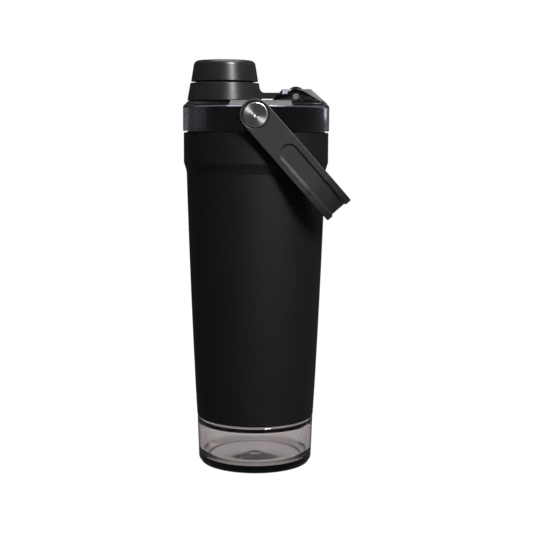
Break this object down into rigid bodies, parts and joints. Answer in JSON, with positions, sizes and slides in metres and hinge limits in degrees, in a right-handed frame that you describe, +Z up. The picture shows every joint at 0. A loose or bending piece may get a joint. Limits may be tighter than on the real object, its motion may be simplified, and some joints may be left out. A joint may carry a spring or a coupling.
{
  "type": "protein shaker bottle",
  "caption": "Insulated steel shaker bottle with a screw-on clear storage cup, tinted lid, tethered screw cap over the spout, swinging carry handle and wire mixing ball.",
  "frame": {"origin": "on the flask's axis, on the plane of the cup's foot ring that the bottle stands on", "axes": "+Z up along the flask; +X towards the side where the carry handle rests; the spout is on the -X side"},
  "size_m": [0.1001, 0.0974, 0.2448],
  "materials": {
    "smoke_clear_cup": "glossy smoke-tinted clear plastic",
    "silicone_black": "matte black silicone",
    "black_plastic": "satin black moulded plastic",
    "powder_coat": "fine-grain matte black powder coat",
    "steel_brushed": "brushed stainless steel",
    "steel_polished": "polished stainless wire",
    "smoke_clear_lid": "glossy dark smoke-tinted clear plastic",
    "black_core": "gloss black plastic",
    "pin_steel": "ground stainless steel",
    "cap_plastic": "fine-textured matte black plastic",
    "handle_plastic": "satin black moulded plastic",
    "steel_turned": "face-turned stainless steel",
    "brass": "machined brass"
  },
  "bodies": {
    "storage_cup": {"storage_cup": "smoke_clear_cup"},
    "storage_seal": {"storage_seal": "silicone_black"},
    "flask": {"outer_shell": "powder_coat", "inner_flask": "steel_brushed", "outer_bottom": "steel_brushed", "getter": "steel_brushed", "base_ring": "black_plastic"},
    "whisk_ball": {"whisk_ball": "steel_polished"},
    "lid_gasket": {"lid_gasket": "silicone_black"},
    "lid": {"lid_shell": "smoke_clear_lid", "lid_core": "black_core", "spout": "black_plastic", "hinge_pin": "pin_steel", "handle_screw_front": "steel_turned", "handle_screw_back": "steel_turned", "handle_washer_front": "black_plastic", "handle_washer_back": "black_plastic", "threaded_insert_front": "brass", "threaded_insert_back": "brass"},
    "carry_handle": {"carry_handle": "handle_plastic"},
    "cap_tether": {"cap_tether": "cap_plastic"},
    "cap_seal": {"cap_seal": "silicone_black"},
    "spout_cap": {"spout_cap": "cap_plastic", "cap_insert": "black_plastic"}
  },
  "joints": [
    {"name": "flask_turn", "type": "hinge", "parent": "storage_cup", "child": "storage_seal", "pos_m": [0, 0, 0.0425], "axis": [0, 0, 1], "range_deg": [0, 450]},
    {"name": "flask_rise", "type": "slide", "parent": "storage_seal", "child": "flask", "axis": [0, 0, 1], "range_m": [0, 0.0151]},
    {"name": "ball_rise", "type": "slide", "parent": "flask", "child": "whisk_ball", "axis": [0, 0, 1], "range_m": [0, 0.1]},
    {"name": "lid_rise", "type": "slide", "parent": "flask", "child": "lid_gasket", "axis": [0, 0, 1], "range_m": [0, 0.0151]},
    {"name": "lid_turn", "type": "hinge", "parent": "lid_gasket", "child": "lid", "pos_m": [0, 0, 0.202], "axis": [0, 0, 1], "range_deg": [0, 450]},
    {"name": "handle_swing", "type": "hinge", "parent": "lid", "child": "carry_handle", "pos_m": [0, 0, 0.212], "axis": [0, -1, 0], "range_deg": [0, 275]},
    {"name": "tether_swing", "type": "hinge", "parent": "lid", "child": "cap_tether", "pos_m": [0.0237, 0, 0.2234], "axis": [0, 1, 0], "range_deg": [0, 125]},
    {"name": "cap_rise", "type": "slide", "parent": "cap_tether", "child": "cap_seal", "axis": [0, 0, 1], "range_m": [0, 0.0061]},
    {"name": "cap_turn", "type": "hinge", "parent": "cap_seal", "child": "spout_cap", "pos_m": [-0.019, 0, 0.24], "axis": [0, 0, 1], "range_deg": [0, 360]}
  ],
  "couplings": [
    {"joint": "flask_rise", "follows": "flask_turn", "m_per_rad": 0.0019099},
    {"joint": "lid_rise", "follows": "lid_turn", "m_per_rad": 0.0019099},
    {"joint": "cap_rise", "follows": "cap_turn", "m_per_rad": 0.00095493}
  ]
}
